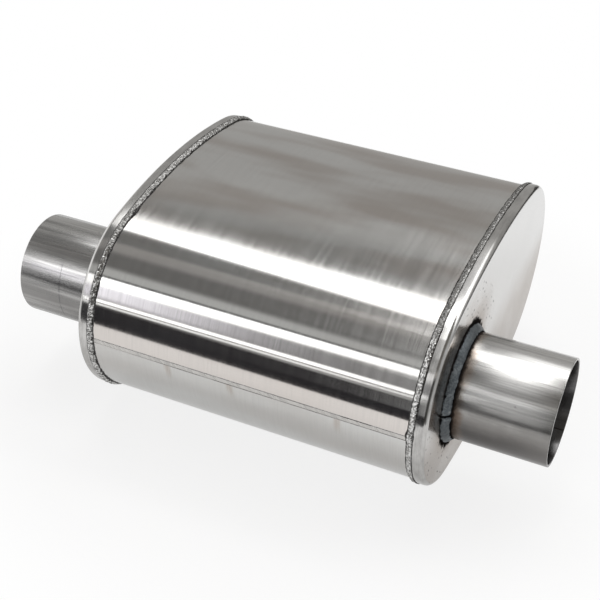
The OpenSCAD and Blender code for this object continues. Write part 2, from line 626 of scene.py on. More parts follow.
@dataclass
class Cover:
    """Matt soot or burnt dirt that hides part of a metal."""

    share: Wire
    colour: Colour


@dataclass
class Surface:
    """What a finish gives its shader. Turned is 0.25 where the grain runs round the case."""

    colour: Socket
    roughness: Wire
    normal: Socket
    metallic: Wire | float = 1.0
    stretch: float = 0.0
    turned: float = 0.0
    cover: Cover | None = None


class Finish:
    """A material with one metal or fibre shader, and soot over it where it has any."""

    name = "finish"
    matt = 0.9

    def fill(self, graph: Graph) -> Surface:
        """Adds the finish's own nodes.

        Args:
            graph: the material's nodes.

        Returns:
            What they give the shader.
        """
        raise NotImplementedError

    def material(self) -> bpy.types.Material:
        """Makes the material.

        Returns:
            The material.
        """
        made = bpy.data.materials.new(self.name)
        made.use_nodes = True
        graph = Graph(made.node_tree)
        look = self.fill(graph)
        inputs = {
            "Base Color": look.colour,
            "Metallic": look.metallic,
            "Roughness": look.roughness,
            "Anisotropic": look.stretch,
            "Anisotropic Rotation": look.turned,
            "Normal": look.normal,
        }
        shader = graph.node("ShaderNodeBsdfPrincipled", None, inputs).outputs[0]
        if look.cover:
            values = {"Color": look.cover.colour, "Roughness": self.matt}
            soot = graph.node("ShaderNodeBsdfDiffuse", None, values).outputs[0]
            shader = graph.blend(look.cover.share, shader, soot)
        graph.node("ShaderNodeOutputMaterial", None, {"Surface": shader})
        return made


@dataclass(frozen=True)
class BrushedShell(Finish):
    """Rolled sheet, brushed round the case, with clouds of tint and heat marks at the seam.

    Each pair of lengths is where a mask starts and where it is full: up from the middle of the case
    for the crown, across for the front, and up from the seam for the strip above it and the marks.
    """

    name: str = "brushed_shell"
    steel: Colour = (0.62, 0.618, 0.605)
    tint: Colour = (0.44, 0.40, 0.37)
    warm: Colour = (0.66, 0.61, 0.575)
    heat: Colour = (0.36, 0.28, 0.225)
    grey: Colour = (0.30, 0.30, 0.30)
    grain: float = 0.7 * MM
    grain_length: float = 24 * MM
    grain_depth: float = 0.016 * MM
    wave_depth: float = 0.06 * MM
    roughness: float = 0.125
    stretch: float = 0.97
    crown: Span = (50 * MM, 60 * MM)
    front: Span = (-80 * MM, -90 * MM)
    strip_foot: Span = (1.2 * MM, 2.2 * MM)
    strip_top: Span = (16 * MM, 11 * MM)
    mark_places: tuple[float, ...] = (-49 * MM, -8 * MM, 58 * MM)
    mark_width: Span = (3.2 * MM, 0.4 * MM)
    mark_top: Span = (0.5 * MM, -1.5 * MM)
    mark_foot: Span = (-14 * MM, -3 * MM)
    mark_wander: float = 9 * MM
    mark_ragged: float = 6 * MM
    mark_lean: float = 0.15

    def fill(self, graph: Graph) -> Surface:
        """Grain, clouds and heat marks.

        Args:
            graph: the material's nodes.

        Returns:
            What they give the shader.
        """
        at = graph.place()
        fine = at.noise(1 / self.grain_length, 1 / self.grain, 3.0, 0.6)
        broad = at.noise(25, 420)
        cloud = at.noise(38, 10, 2.0, 0.45)
        wave = at.noise(14, 7, 1.0)
        crown = (at.up - CASE.middle).ease(*self.crown)
        front = at.across.ease(*self.front)
        height = at.up - CASE.seam_up
        strip = height.ease(*self.strip_foot) * height.ease(*self.strip_top)
        ragged = height + (broad - 0.5) * self.mark_ragged
        below = ragged.ease(*self.mark_top) * ragged.ease(*self.mark_foot)
        coats = [
            (cloud.ease(0.36, 0.68) * crown.ease(0.0, 1.0, 0.3, 0.8), self.tint),
            (strip * front * 0.75, self.warm),
        ]
        for mark in self.mark_places:
            near = abs(at.along - mark + (cloud - 0.5) * self.mark_wander + height * self.mark_lean)
            near = near.ease(*self.mark_width) * fine.ease(0.3, 0.6, 0.4, 1.0)
            coats.append((near * below * front * 0.5, self.heat))
        coats.append((fine.ease(0.35, 0.75) * 0.10, self.grey))
        return Surface(
            colour=graph.layers(self.steel, *coats),
            roughness=broad.ease(0.2, 0.8, self.roughness - 0.02, self.roughness + 0.02),
            normal=graph.bump(fine + broad * 0.8, self.grain_depth, graph.bump(wave, self.wave_depth)),
            stretch=self.stretch,
            turned=0.25,
        )


@dataclass(frozen=True)
class SatinFace(Finish):
    """Satin face of a drawn cap, stained, sooted and spattered round the pipe, and browner and darker towards
    the bottom.

    The pairs are where a mask starts and where it is full: out from the pipes' axis for the stain
    and the spatter, out from the weld's edge for the burn and the soot, up from the axis for the
    others.
    """

    name: str = "satin_face"
    steel: Colour = (0.66, 0.655, 0.645)
    brown: Colour = (0.30, 0.245, 0.20)
    grey: Colour = (0.4, 0.4, 0.4)
    soot: Colour = (0.014, 0.012, 0.011)
    roughness: float = 0.20
    scratch_depth: float = 0.003 * MM
    scratch_share: float = 0.04
    weld_radius: float = 36 * MM
    stain: Span = (66 * MM, 36 * MM)
    spatter: Span = (70 * MM, 42 * MM)
    burn: Span = (9 * MM, 0.0)
    sooted: Span = (1.3 * MM, -0.8 * MM)
    lower: Span = (14 * MM, -22 * MM)
    ends: Span = (6 * MM, 30 * MM)
    ends_wider: float = 2.8 * MM
    ragged: float = 8 * MM

    def fill(self, graph: Graph) -> Surface:
        """Fine scratches, stain, soot and spatter, and a darkening towards the bottom.

        Args:
            graph: the material's nodes.

        Returns:
            What they give the shader.
        """
        at = graph.place()
        up, radius = at.from_pipes()[1:]
        rough = at.noise(260, 260, 4.0, 0.65)
        scratch = Place(at.along, at.across, at.up * self.scratch_share).noise(1500, 1500)
        cloud = at.noise(30, 30, 3.0)
        stain = radius.ease(*self.stain) * cloud.ease(0.2, 0.6)
        # Browner and darker towards the bottom of the face.
        low = up.ease(*self.lower) * cloud.ease(0.1, 0.6, 0.55, 0.9)
        wider = abs(up).ease(*self.ends) * self.ends_wider
        edge = radius + (rough - 0.5) * self.ragged - wider - self.weld_radius
        near = radius.ease(*self.spatter) * rough.ease(0.48, 0.56)
        spots = at.cells(300).ease(0.25, 0.17) * near.ease(0.08, 0.35) * 0.8
        colour = graph.layers(
            self.steel,
            (stain.highest(low) * 0.8, self.brown),
            (scratch.ease(0.5, 0.8) * 0.15, self.grey),
            (edge.ease(*self.burn) * 0.7, self.brown),
        )
        return Surface(
            colour=colour,
            roughness=cloud.ease(0.2, 0.8, self.roughness - 0.02, self.roughness + 0.03),
            normal=graph.bump(scratch, self.scratch_depth),
            cover=Cover(edge.ease(*self.sooted).highest(spots), self.soot),
        )


@dataclass(frozen=True)
class BrushedSkirt(Finish):
    """Skirt and rounded edge of a cap, brushed round the case and dulled by its weld."""

    name: str = "brushed_skirt"
    steel: Colour = (0.56, 0.553, 0.54)
    dull: Colour = (0.30, 0.292, 0.285)
    roughness: float = 0.17
    stretch: float = 0.9
    grain_depth: float = 0.010 * MM

    def fill(self, graph: Graph) -> Surface:
        """Grain along the skirt, and dull patches.

        Args:
            graph: the material's nodes.

        Returns:
            What they give the shader.
        """
        at = graph.place()
        fine = at.noise(30, 2600, 3.0, 0.6)
        patch = at.noise(70, 200, 4.0, 0.6)
        dulled = (patch.ease(0.35, 0.75) * 0.6, self.dull)
        return Surface(
            colour=graph.layers(self.steel, dulled, (fine.ease(0.4, 0.8) * 0.4, self.dull)),
            roughness=patch.ease(0.2, 0.8, self.roughness - 0.04, self.roughness + 0.06),
            normal=graph.bump(fine + patch, self.grain_depth),
            stretch=self.stretch,
            turned=0.25,
        )


@dataclass(frozen=True)
class DrawnPipe(Finish):
    """Welded tube with mill streaks along it, tinted by the heat of its weld, with grime and painted shade on
    its lower half.

    The pairs are where a mask starts and where it is full: up from the pipes' axis for the lower half,
    which gets grime and painted shade, and for the lowest part, which gets painted shade next to the
    cap; out from the cap's face or the weld's toe for the others. The names that end in wander are how
    far scuffs, streaks and specks shift the edge of a mask, in that order.
    """

    name: str = "drawn_pipe"
    steel: Colour = (0.64, 0.635, 0.62)
    dull: Colour = (0.26, 0.256, 0.25)
    tan: Colour = (0.33, 0.265, 0.215)
    brown: Colour = (0.12, 0.092, 0.075)
    burnt: Colour = (0.030, 0.024, 0.021)
    # The next two colours: the lower half's, partly grime and partly painted shade, and the painted shade at
    # the very bottom next to the cap.
    grime_and_shade: Colour = (0.235, 0.225, 0.215)
    black: Colour = (0.085, 0.08, 0.078)
    dark: Colour = (0.10, 0.10, 0.105)
    wear: float = 0.6
    # Strength of the lower half's grime and painted shade, and of the painted shade at the bottom.
    under: float = 0.85
    roughness: float = 0.20
    stretch: float = 0.45
    streak_depth: float = 0.05 * MM
    level_wander: Span = (14 * MM, 8 * MM)
    # Up from the axis: where the lower half's grime and painted shade starts and is full, then the same for
    # the painted shade at the bottom.
    lower: Span = (15 * MM, 3 * MM)
    lowest: Span = (8 * MM, -10 * MM)
    near_cap: Span = (70 * MM, 15 * MM)
    toe: float = 4.5 * MM
    toe_wander: tuple[float, float, float] = (12 * MM, 6 * MM, 3 * MM)
    tinted: Span = (7.5 * MM, 1 * MM)
    charred: Span = (3.0 * MM, 0.6 * MM)
    scribe: float | None = None
    scribe_width: Span = (0.45 * MM, 0.15 * MM)
    scribe_top: Span = (26 * MM, 14 * MM)
    scribe_lean: float = 0.04
    bore_edge: Span = (0.6 * MM, 0.2 * MM)
    bore_lines: tuple[Span, ...] = ((-59.5, 0.95), (-49.0, 0.4))
    bore_line_width: Span = (0.5 * MM, 0.2 * MM)

    def fill(self, graph: Graph) -> Surface:
        """Streaks, scuffs, heat tint and the seam inside, with grime and painted shade underneath and painted
        shade in the bore.

        Args:
            graph: the material's nodes.

        Returns:
            What they give the shader.
        """
        at = graph.place()
        across, up, radius = at.from_pipes()
        fine = at.noise(650, 14, 3.0, 0.6)
        streak = at.noise(240, 7, 4.0, 0.65)
        broad = at.noise(75, 5)
        scuff = at.noise(70, 45, 4.0, 0.6)
        speck = at.noise(420, 420)
        out = from_face(at.along)
        scuffed, streaked, specked = scuff - 0.5, streak - 0.5, speck - 0.5
        # The lower half is darker, partly grime and partly painted shade, and the very bottom is darker still
        # next to the cap, as painted shade.
        level = up + scuffed * self.level_wander[0] + streaked * self.level_wander[1]
        below = level.ease(*self.lower)
        lowest = level.ease(*self.lowest) * out.ease(*self.near_cap, 0.6, 1.0)
        from_toe = out - self.toe + specked * self.toe_wander[2]
        tint = from_toe + scuffed * self.toe_wander[0] + streaked * self.toe_wander[1]
        tint = tint.ease(*self.tinted)
        coats = [
            (streak.ease(0.40, 0.68) * self.wear, self.dull),
            (broad.ease(0.46, 0.66) * self.wear, self.dull),
            (fine.ease(0.5, 0.7) * 0.45, self.dull),
            # Grime and painted shade on the lower half, then painted shade at the bottom next to the cap.
            (below * self.under, self.grime_and_shade),
            (lowest * self.under, self.black),
            (scuff.ease(0.60, 0.80) * 0.5, self.dark),
            (speck.ease(0.72, 0.80) * 0.6, self.dark),
            (tint * 0.8, self.tan),
            # The heat tint turns browner on the lower half, with the painted shade there.
            (tint * below * 0.8, self.brown),
        ]
        if self.scribe is not None:
            line = abs(at.along - self.scribe + across * self.scribe_lean).ease(*self.scribe_width)
            line = line * speck.ease(0.3, 0.5) * up.ease(*self.scribe_top)
            coats.append((line * 0.7, self.dark))
        # Painted shade inside the bore, reaching across the rim towards it.
        inside = radius.ease(AXIS.outside - self.bore_edge[0], AXIS.bore + self.bore_edge[1])
        coats.append((inside * 0.6, self.dark))
        burnt = from_toe.ease(*self.charred)
        # Burnt patches in the heat tint, only on the lower half where the painted shade falls.
        burnt = burnt.highest(tint * below * scuff.ease(0.3, 0.6) * 0.55)
        for degrees, strength in self.bore_lines:
            past, side = split_at(across, up, math.radians(degrees))
            burnt = burnt.highest(abs(past).ease(*self.bore_line_width) * side * inside * strength)
        return Surface(
            colour=graph.layers(self.steel, *coats),
            roughness=streak.ease(0.3, 0.7, self.roughness - 0.04, self.roughness + 0.06),
            normal=graph.bump(streak + broad + fine * 0.4, self.streak_depth),
            stretch=self.stretch,
            cover=Cover(burnt, self.burnt),
        )


@dataclass(frozen=True)
class BrightBead(Finish):
    """Finely scaled weld bead between a cap and the shell, dark along both edges and darker over the top of
    the case.

    The pairs are where a mask starts and where it is full: up from the middle of the case for the
    crown, and from the bead's own edges for the top and the foot.
    """

    name: str = "bright_bead"
    steel: Colour = (0.68, 0.677, 0.665)
    dull: Colour = (0.12, 0.116, 0.11)
    dark: Colour = (0.018, 0.017, 0.016)
    roughness: float = 0.17
    pit_depth: float = 0.22 * MM
    crown: Span = (48 * MM, 58 * MM)
    low_edge: float = 0.0
    high_edge: float = 0.0
    ragged: float = 1.1 * MM
    foot: Span = (0.9 * MM, 0.35 * MM)
    top: Span = (-1.0 * MM, -0.45 * MM)

    def fill(self, graph: Graph) -> Surface:
        """Scales, pits and dark edges.

        Args:
            graph: the material's nodes.

        Returns:
            What they give the shader.
        """
        at = graph.place()
        grit = at.noise(1500, 1500, 3.0, 0.6)
        patch = at.noise(700, 900, 3.0)
        broad = at.noise(90, 90)
        depth = (patch - 0.5) * self.ragged - from_face(at.along)
        edges = (depth - self.high_edge).ease(*self.top).highest((depth - self.low_edge).ease(*self.foot))
        # Darker over the top of the case.
        crown = (at.up - CASE.middle).ease(*self.crown)
        scales = patch.ease(0.40, 0.60) * broad.ease(0.3, 0.7, 0.65, 1.0)
        return Surface(
            colour=graph.layers(self.steel, (scales, self.dull), (crown * 0.55, self.dull)),
            roughness=patch.ease(0.3, 0.7, self.roughness - 0.06, self.roughness + 0.12),
            normal=graph.bump(grit * crown.ease(0.0, 1.0, 0.4, 1.0), self.pit_depth),
            cover=Cover(edges * 0.85, self.dark),
        )


@dataclass(frozen=True)
class OxidisedBead(Finish):
    """Slate grey fillet weld round a pipe, black along its edges and at its restart.

    The pairs are where a mask starts and where it is full: out from the pipe for the two edges, and
    along the weld from its restart for the others.
    """

    name: str = "oxidised_bead"
    slate: Colour = (0.10, 0.116, 0.128)
    pale: Colour = (0.24, 0.262, 0.275)
    deep: Colour = (0.045, 0.0522, 0.0576)
    bright: Colour = (0.55, 0.54, 0.52)
    black: Colour = (0.006, 0.006, 0.007)
    roughness: float = 0.40
    ripple_depth: float = 0.10 * MM
    joint: float = 0.0
    ragged: float = 1.8 * MM
    inner: Span = (0.75 * MM, 0.4 * MM)
    outer: Span = (3.55 * MM, 4.0 * MM)
    gap: Span = (1.0 * MM, 0.5 * MM)
    spark_start: Span = (-5.5 * MM, -4 * MM)
    spark_end: Span = (0.0, -1 * MM)

    def fill(self, graph: Graph) -> Surface:
        """Ripples, mottled oxide, black edges and the joint.

        Args:
            graph: the material's nodes.

        Returns:
            What they give the shader.
        """
        at = graph.place()
        across, up, radius = at.from_pipes()
        mottle = at.noise(420, 420, 4.0, 0.65)
        broad = at.noise(45, 45)
        fine = at.noise(1300, 500, 2.0, 0.6)
        ragged = (mottle - 0.5) * self.ragged
        out = radius + ragged - AXIS.outside
        edges = out.ease(*self.inner).highest(out.ease(*self.outer))
        past, side = split_at(across, up, self.joint)
        gap = abs(past + ragged).ease(*self.gap) * side
        spark = past.ease(*self.spark_start) * past.ease(*self.spark_end) * side * mottle.ease(0.56, 0.62)
        colour = graph.layers(
            self.slate,
            ((mottle * 0.6 + fine * 0.4).ease(0.42, 0.62), self.pale),
            (broad.ease(0.42, 0.62) * 0.55, self.deep),
            (spark * 0.8, self.bright),
        )
        return Surface(
            colour=colour,
            roughness=mottle.ease(0.2, 0.8, self.roughness - 0.08, self.roughness + 0.12),
            normal=graph.bump(mottle + fine * 0.5, self.ripple_depth),
            metallic=mottle.ease(0.2, 0.8, 0.55, 0.8),
            cover=Cover(edges.highest(gap), self.black),
        )


@dataclass(frozen=True)
class PlanishedSeam(Finish):
    """Seam weld rolled flat, with slanting ripples between two thin dark lines.

    The lines' places and widths are shares of the seam's width.
    """

    name: str = "planished_seam"
    steel: Colour = (0.56, 0.545, 0.525)
    grey: Colour = (0.40, 0.39, 0.38)
    dark: Colour = (0.045, 0.038, 0.034)
    roughness: float = 0.24
    ripple_depth: float = 0.03 * MM
    ragged: float = 0.12
    upper_line: float = 0.42
    upper_width: Span = (0.10, 0.03)
    upper_fade: Span = (10 * MM, 60 * MM)
    lower_line: float = -0.46
    lower_width: Span = (0.13, 0.05)
    lower_fade: Span = (-85 * MM, -40 * MM)

    def fill(self, graph: Graph) -> Surface:
        """Ripples and edge lines.

        Args:
            graph: the material's nodes.

        Returns:
            What they give the shader.
        """
        at = graph.place()
        patch = at.noise(60, 60, 3.0)
        ripple = Place(at.along + at.up, at.across, at.up).noise(90, 700)
        off = (at.up - CASE.seam_up) / CASE.seam_width + (ripple - 0.5) * self.ragged
        upper = abs(off - self.upper_line).ease(*self.upper_width) * patch.ease(0.40, 0.55)
        upper = upper * at.along.ease(*self.upper_fade, 0.2, 0.9)
        lower = abs(off - self.lower_line).ease(*self.lower_width) * patch.ease(0.66, 0.46, 0.5, 1.0)
        lower = lower * at.along.ease(*self.lower_fade, 0.25, 1.0)
        return Surface(
            colour=graph.mix(ripple.ease(0.35, 0.75) * 0.6, self.steel, self.grey),
            roughness=ripple.ease(0.3, 0.7, self.roughness - 0.05, self.roughness + 0.1),
            normal=graph.bump(ripple, self.ripple_depth),
            cover=Cover(upper.highest(lower), self.dark),
        )


@dataclass(frozen=True)
class PunchedSheet(Finish):
    """Mill sheet of the perforated core."""

    name: str = "punched_sheet"
    steel: Colour = (0.45, 0.445, 0.44)
    dull: Colour = (0.28, 0.275, 0.27)
    roughness: float = 0.42
    mark_depth: float = 0.02 * MM

    def fill(self, graph: Graph) -> Surface:
        """Rolling marks.

        Args:
            graph: the material's nodes.

        Returns:
            What they give the shader.
        """
        marks = graph.place(axial=False).noise(90, 30, 5.0, 0.6)
        return Surface(
            colour=graph.mix(marks.ease(0.3, 0.75), self.steel, self.dull),
            roughness=marks.ease(0.2, 0.8, self.roughness - 0.1, self.roughness + 0.1),
            normal=graph.bump(marks, self.mark_depth),
        )


@dataclass(frozen=True)
class Fibre(Finish):
    """Matted fibre: steel wool or packed glass."""

    name: str = "fibre"
    light: Colour = (0.8, 0.78, 0.68)
    shade: Colour = (0.45, 0.42, 0.33)
    metallic: float = 0.0
    thread: float = 0.6 * MM

    def fill(self, graph: Graph) -> Surface:
        """Crossing threads.

        Args:
            graph: the material's nodes.

        Returns:
            What they give the shader.
        """
        at = graph.place(axial=False)
        thick, long = 1 / self.thread, 0.12 / self.thread
        mat = at.noise(thick, long, 3.0, 0.7).highest(at.noise(long, thick, 3.0, 0.7))
        return Surface(
            colour=graph.mix(mat.ease(0.45, 0.75), self.shade, self.light),
            roughness=mat.ease(0.3, 0.8, 0.65, 0.85),
            normal=graph.bump(mat, self.thread),
            metallic=self.metallic,
        )


@dataclass(frozen=True)
class Bead:
    """Form of the weld between a cap's skirt and the shell.

    The blob is where the weld ends over its start, a length round the case from the middle of its
    front. Bend is how far the ripples bow, and rows are the features across the bead. The names that
    end in uneven are a slow and a quick change of a length.
    """

    lap: float = 0.7 * MM
    lap_uneven: Span = (0.25 * MM, 0.12 * MM)
    width: float = 3.7 * MM
    width_uneven: Span = (0.35 * MM, 0.25 * MM)
    crown: float = 0.50 * MM
    ripple: float = 0.16 * MM
    pitch: float = 1.25 * MM
    bend: float = 3.5
    bumps: float = 0.40 * MM
    bump_size: float = 0.75 * MM
    bump_rows: float = 5.5
    lumps: float = 0.70 * MM
    lump_size: float = 2.1 * MM
    lump_rows: float = 2.4
    blob: float = 0.0
    blob_reach: float = 3.5 * MM
    blob_width: float = 0.8 * MM
    blob_swell: float = 0.9
    root: float = 0.05 * MM
    clear: float = 0.02 * MM
    around: int = 2600
    across: int = 15

    def finish(self) -> Finish:
        """Finish whose dark edges follow the bead's own."""
        return BrightBead(low_edge=CASE.skirt_depth - self.lap, high_edge=CASE.skirt_depth + self.width)


@dataclass
class Shell:
    """The rolled shell and the weld in its seam."""

    around: int = 420
    seam_steps: int = 400
    proud: float = 0.12 * MM
    ripple: float = 0.03 * MM
    ripple_size: float = 0.8 * MM
    ripple_slant: float = 0.9 * MM

    def build(self) -> None:
        """Builds and dresses both pieces."""
        dress(self.sheet(), "outer_shell", BrushedShell().material())
        dress(self.seam(), "shell_seam_weld", PlanishedSeam().material())

    def _angles(self) -> list[float]:
        """Angles round the outline, from one edge of the seam to the other.

        Returns:
            The angles.
        """
        whole = 4 * CASE.oval.quarter
        seam = 0.5 - (math.pi - CASE.seam_angle) * CASE.side_radius / whole
        gap = CASE.seam_width / 2 / whole
        shares = [seam + gap + (1 - 2 * gap) * i / self.around for i in range(self.around + 1)]
        return [CASE.oval.angle(share) for share in shares]

    def sheet(self) -> bpy.types.Object:
        """Sheet rolled from one edge of the seam to the other.

        Returns:
            The new piece.
        """
        low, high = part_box("outer_shell")
        outside, inside = 0.0, -CASE.shell_sheet
        corners = ((outside, low[0]), (outside, high[0]), (inside, high[0]), (inside, low[0]))
        angles = self._angles()
        rings = [[CASE.point(along, angle, offset) for angle in angles] for offset, along in corners]
        return loft("shell_sheet", rings, sharp=32, loop=False)

    def _ripple(self, along: float) -> float:
        """Height of the seam weld's ripples at a place along it."""
        return self.ripple * noise.noise(Vector((along / self.ripple_size, 21.93, 9.51)))

    def seam(self) -> bpy.types.Object:
        """Planished weld that fills the seam and stands slightly proud of it.

        Returns:
            The new piece.
        """
        low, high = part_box("shell_seam_weld")
        half = CASE.seam_width / 2 / CASE.side_radius
        crest, dip = self.proud, self.proud * 0.8
        face = [(-1.0, 0.0), (-0.8, crest), (-0.3, dip), (0.3, dip), (0.8, crest), (1.0, 0.0)]
        root = [(1.0, -CASE.shell_sheet), (-1.0, -CASE.shell_sheet)]
        rings = []
        for share, offset in face + root:
            ring = []
            for step in range(self.seam_steps + 1):
                along = low[0] + (high[0] - low[0]) * step / self.seam_steps
                rise = self._ripple(along + share * self.ripple_slant) if offset > 0 else 0.0
                ring.append(CASE.point(along, CASE.seam_angle - share * half, offset + rise))
            rings.append(ring)
        return loft("seam_bead", rings, sharp=50, loop=False)


@dataclass
class EndCap:
    """A drawn cap with the weld that holds it to the shell."""

    end: End
    around: int = 480
    corner_steps: int = 10
    face_steps: int = 5
    burr: float = 0.25 * MM
    hole_gap: float = 0.2 * MM
    level: float = 0.97

    @property
    def form(self) -> Bead:
        """Form of the end's bead, which laps further on to the skirt at the outlet.

        Returns:
            The form.
        """
        if self.end is End.INLET:
            return Bead(width=3.3 * MM, blob=90 * MM)
        return Bead(lap=1.0 * MM, width=3.6 * MM, blob=4 * MM)

    @property
    def seed(self) -> int:
        """Number of the end's own unevenness."""
        return 11 if self.end is End.INLET else 29

    def build(self) -> None:
        """Builds and dresses the cap and its bead."""
        label = self.end.label
        cap = self.cap()
        dress(cap, f"{label}_end_cap", BrushedSkirt().material())
        cap.data.materials.append(SatinFace().material())
        for polygon in cap.data.polygons:
            level = abs(polygon.normal.z) > self.level
            outer = abs(polygon.center.z - self.end.face) < CASE.cap_sheet
            polygon.material_index = int(level and outer)
        dress(self.bead(), f"{label}_cap_weld", self.form.finish().material())

    def _point(self, angle: float, offset: float, depth: float) -> Point:
        """Point at an offset from the shell and a depth inside the cap's face."""
        return CASE.point(self.end.along(depth), angle, offset)

    def _oval_ring(self, offset: float, depth: float) -> list[Point]:
        """Ring of the outline at an offset from the shell and a depth inside the face."""
        return [self._point(CASE.oval.angle(i / self.around), offset, depth) for i in range(self.around)]

    def _hole_ring(self, radius: float, depth: float, outer: Sequence[Point]) -> list[Point]:
        """Ring round the pipe, each point in line with one of an outer ring.

        Args:
            radius: the ring's radius.
            depth: its depth inside the cap's face.
            outer: the outer ring.

        Returns:
            The ring's points.
        """
        angles = [math.atan2(point[2] - AXIS.up, point[1] - AXIS.across) for point in outer]
        return [AXIS.at(angle, radius, self.end.along(depth)) for angle in angles]

    def _rounded(self, radius: float) -> list[tuple[float, float]]:
        """Section of the rounded edge, from the skirt to the face.

        Args:
            radius: radius of the edge's outside or inside.

        Returns:
            Offset from the shell and depth inside the cap's face of each point.
        """
        turns = [QUARTER * step / self.corner_steps for step in range(self.corner_steps + 1)]
        centre = CASE.skirt_out - CASE.edge_radius
        return [(centre + radius * math.cos(t), CASE.edge_radius - radius * math.sin(t)) for t in turns]

    def cap(self) -> bpy.types.Object:
        """Face, rounded edge and skirt, with a hole for the pipe.

        Returns:
            The new piece.
        """
        radius, sheet, out, depth = CASE.edge_radius, CASE.cap_sheet, CASE.skirt_out, CASE.skirt_depth
        hole = AXIS.outside + self.hole_gap
        skirt = [(CASE.cap_gap, depth), (out - self.burr, depth), (out, depth - self.burr)]
        rings = [self._oval_ring(*place) for place in skirt + self._rounded(radius)]
        flat = self._oval_ring(out - radius - self.burr, 0.0)
        inner = self._hole_ring(hole, 0.0, flat)
        for step in range(self.face_steps + 1):
            share = step / self.face_steps
            rings.append([tuple(a + (b - a) * share for a, b in zip(p, q)) for p, q in zip(flat, inner)])
        back = self._oval_ring(out - radius - self.burr, sheet)
        rings += [self._hole_ring(hole, sheet, back), back]
        rings += [self._oval_ring(*place) for place in reversed(self._rounded(radius - sheet))]
        return loft(f"{self.end.label}_cap", rings, sharp=40)

    def bead(self) -> bpy.types.Object:
        """Uneven bead between the skirt's edge and the shell, all the way round.

        Returns:
            The new piece.
        """
        around = self.form.around
        columns = [self._bead_section(i / around) for i in range(around)]
        return loft(f"{self.end.label}_cap_bead", [list(ring) for ring in zip(*columns)], sharp=70)

    def _bead_section(self, share_round: float) -> list[Point]:
        """Points of the bead's section at one place round the case.

        Args:
            share_round: the place, as a share of the way round.

        Returns:
            The section's points, over the bead's face and back under it.
        """
        form, seed, length = self.form, self.seed, 4 * CASE.oval.quarter
        angle, place = CASE.oval.angle(share_round), length * share_round
        turn = 2 * math.pi * share_round
        ring = Vector((math.cos(turn), math.sin(turn))) * (length / (2 * math.pi))
        from_blob = abs(place - (length / 2 - form.blob)) / form.blob_reach
        blob = math.exp(-from_blob**2)
        swell = 1 + 0.4 * closed_noise(ring, 5.9 + seed, 3 * MM) + form.blob_swell * blob
        lap = form.lap + form.lap_uneven[0] * closed_noise(ring, 1.3 + seed, 4 * MM)
        lap += form.lap_uneven[1] * closed_noise(ring, 3.3 + seed, 1.1 * MM)
        width = form.width + form.width_uneven[0] * closed_noise(ring, 2.7 + seed, 5 * MM)
        width += form.width_uneven[1] * closed_noise(ring, 4.1 + seed, 1.1 * MM) + form.blob_width * blob
        shift = place / form.pitch + 0.9 * closed_noise(ring, 7.7 + seed, 2.5 * MM)
        lively = form.lumps * math.cos(angle) ** 2
        points = []
        for step in range(form.across + 1):
            share = step / form.across
            beyond = (lap + width) * share - lap
            foot = CASE.skirt_out * (1 - max(beyond / width, 0.0) ** 1.4)
            wave = abs(math.sin(math.pi * (shift + (share - 0.45) ** 2 * form.bend))) - 0.6
            rise = form.crown * swell + form.ripple * wave
            rise += form.bumps * closed_noise(ring, share * form.bump_rows + seed, form.bump_size)
            rise += lively * closed_noise(ring, share * form.lump_rows + seed + 17, form.lump_size)
            hump = math.sin(math.pi * share) ** 0.6
            points.append(self._point(angle, foot + hump * rise, CASE.skirt_depth + beyond))
        points.append(self._point(angle, form.clear, CASE.skirt_depth + form.root))
        points.append(self._point(angle, CASE.skirt_out, CASE.skirt_depth + form.root))
        return points


